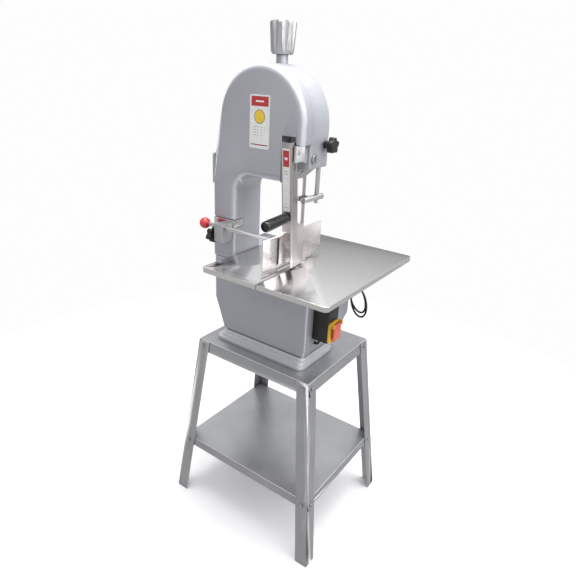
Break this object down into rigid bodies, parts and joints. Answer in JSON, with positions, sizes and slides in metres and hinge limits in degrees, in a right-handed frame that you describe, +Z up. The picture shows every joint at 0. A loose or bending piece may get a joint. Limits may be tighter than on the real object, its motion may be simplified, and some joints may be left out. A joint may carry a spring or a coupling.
{
  "type": "bone saw",
  "caption": "Floor-standing butcher's band saw: cast housing with hinged doors, steel table, portion gauge, swinging pusher arm and blade guide on a splayed steel stand.",
  "frame": {"origin": "on the floor, under the middle of the overall length and width", "axes": "+X to the right of a person facing the doors, +Y away from that person, +Z up"},
  "size_m": [0.5516, 0.482, 1.4605],
  "materials": {
    "stand_steel": "brushed steel sheet",
    "fastener": "zinc plated",
    "cast_paint": "silver grey hammered paint on cast aluminium",
    "motor_paint": "dark grey paint",
    "ground_steel": "ground steel",
    "wheel_alloy": "machined casting",
    "stainless": "polished stainless steel",
    "blade_steel": "bright strip steel",
    "hard_pads": "sintered carbide",
    "nylon": "natural nylon",
    "cast_iron": "machined iron",
    "polished_alloy": "polished",
    "red_plastic": "gloss",
    "switch_red": "gloss",
    "switch_green": "gloss",
    "black_plastic": "moulded, satin",
    "cable_rubber": "smooth sheath",
    "yellow_plastic": "satin",
    "label": "printed film, no lettering"
  },
  "bodies": {
    "frame": {"stand_top": "stand_steel", "leg_front_left": "stand_steel", "leg_front_right": "stand_steel", "leg_rear_left": "stand_steel", "leg_rear_right": "stand_steel", "lower_shelf": "stand_steel", "stand_bolts": "fastener", "stand_nuts": "fastener", "base_plinth": "cast_paint", "base_casting": "cast_paint", "lower_hinge_pin": "fastener", "motor": "motor_paint", "motor_bolts": "fastener", "dust_tray": "stainless", "blade_scrapers": "nylon", "head_casting": "cast_paint", "upper_hinge_pin": "fastener", "column_base_cover": "cast_paint", "carriage_rails": "ground_steel", "saw_blade": "blade_steel", "guide_bush": "ground_steel", "gauge_mount_bar": "stainless", "gauge_clamp_block": "polished_alloy", "pusher_pin": "fastener", "pusher_bracket": "stainless", "work_table": "stainless", "table_nuts": "fastener", "switch_box": "black_plastic", "switch_frame": "yellow_plastic", "power_cable": "cable_rubber", "motor_lead": "cable_rubber", "mains_plug": "black_plastic"},
    "upper_door": {"upper_door": "cast_paint", "door_label": "label"},
    "lower_door": {"lower_door": "cast_paint"},
    "drive": {"motor_shaft": "ground_steel", "lower_wheel": "wheel_alloy", "lower_wheel_nut": "fastener"},
    "carriage": {"tension_carriage": "cast_iron", "upper_shaft": "ground_steel", "upper_wheel_nut": "fastener"},
    "upper_band_wheel": {"upper_wheel": "wheel_alloy", "upper_bearings": "ground_steel"},
    "tension": {"tension_screw": "ground_steel", "tension_knob": "polished_alloy"},
    "lock": {"door_lock": "fastener"},
    "guide": {"guide_post": "stainless", "guide_bar": "stainless", "guide_pads": "hard_pads"},
    "guide_knob": {"post_knob": "black_plastic"},
    "gauge": {"gauge_plate": "stainless", "gauge_rod": "stainless", "gauge_ball": "red_plastic"},
    "gauge_knob": {"gauge_clamp_knob": "black_plastic"},
    "pusher": {"pusher_arm": "stainless", "pusher_handle": "black_plastic", "arm_label": "label"},
    "stop_cover": {"stop_flap": "switch_red"},
    "start": {"start_button": "switch_green"},
    "stop": {"stop_button": "switch_red"}
  },
  "joints": [
    {"name": "upper_door_hinge", "type": "hinge", "parent": "frame", "child": "upper_door", "pos_m": [-0.19375, -0.07, 1.097], "axis": [0, 0, -1], "range_deg": [0, 110]},
    {"name": "lower_door_hinge", "type": "hinge", "parent": "frame", "child": "lower_door", "pos_m": [-0.19375, -0.07, 0.756], "axis": [0, 0, -1], "range_deg": [0, 110]},
    {"name": "drive_spin", "type": "hinge", "parent": "frame", "child": "drive", "pos_m": [-0.03975, -0.05, 0.74196], "axis": [0, -1, 0], "continuous": true},
    {"name": "carriage_slide", "type": "slide", "parent": "frame", "child": "carriage", "axis": [0, 0, 1], "range_m": [-0.012, 0]},
    {"name": "upper_wheel_spin", "type": "hinge", "parent": "carriage", "child": "upper_band_wheel", "pos_m": [-0.03975, -0.05, 1.2195], "axis": [0, -1, 0], "continuous": true},
    {"name": "tension_turn", "type": "hinge", "parent": "frame", "child": "tension", "pos_m": [-0.03975, -0.016, 1.386], "axis": [0, 0, 1], "range_deg": [-2, 1082]},
    {"name": "lock_turn", "type": "hinge", "parent": "frame", "child": "lock", "pos_m": [0.09825, -0.055, 1.151], "axis": [-1, 0, 0], "range_deg": [0, 90]},
    {"name": "guide_slide", "type": "slide", "parent": "frame", "child": "guide", "axis": [0, 0, 1], "range_m": [-0.045, 0.038]},
    {"name": "guide_knob_turn", "type": "hinge", "parent": "frame", "child": "guide_knob", "pos_m": [0.09825, -0.008, 1.183], "axis": [1, 0, 0], "range_deg": [0, 360]},
    {"name": "gauge_slide", "type": "slide", "parent": "frame", "child": "gauge", "axis": [1, 0, 0], "range_m": [-0.15, 0.004]},
    {"name": "gauge_knob_turn", "type": "hinge", "parent": "frame", "child": "gauge_knob", "pos_m": [-0.14875, -0.14, 0.9195], "axis": [-1, 0, 0], "range_deg": [0, 360]},
    {"name": "pusher_swing", "type": "hinge", "parent": "frame", "child": "pusher", "pos_m": [0.07425, -0.102, 1.166], "axis": [-1, 0, 0], "range_deg": [0, 60]},
    {"name": "stop_cover_hinge", "type": "hinge", "parent": "frame", "child": "stop_cover", "pos_m": [0.20225, -0.0475, 0.725], "axis": [0, -1, 0], "range_deg": [0, 100]},
    {"name": "start_press", "type": "slide", "parent": "frame", "child": "start", "axis": [-1, 0, 0], "range_m": [0, 0.004]},
    {"name": "stop_press", "type": "slide", "parent": "frame", "child": "stop", "axis": [-1, 0, 0], "range_m": [0, 0.004]}
  ],
  "couplings": [
    {"joint": "upper_wheel_spin", "follows": "drive_spin", "ratio": 1},
    {"joint": "tension_turn", "follows": "carriage_slide", "rad_per_m": -1570.8}
  ]
}
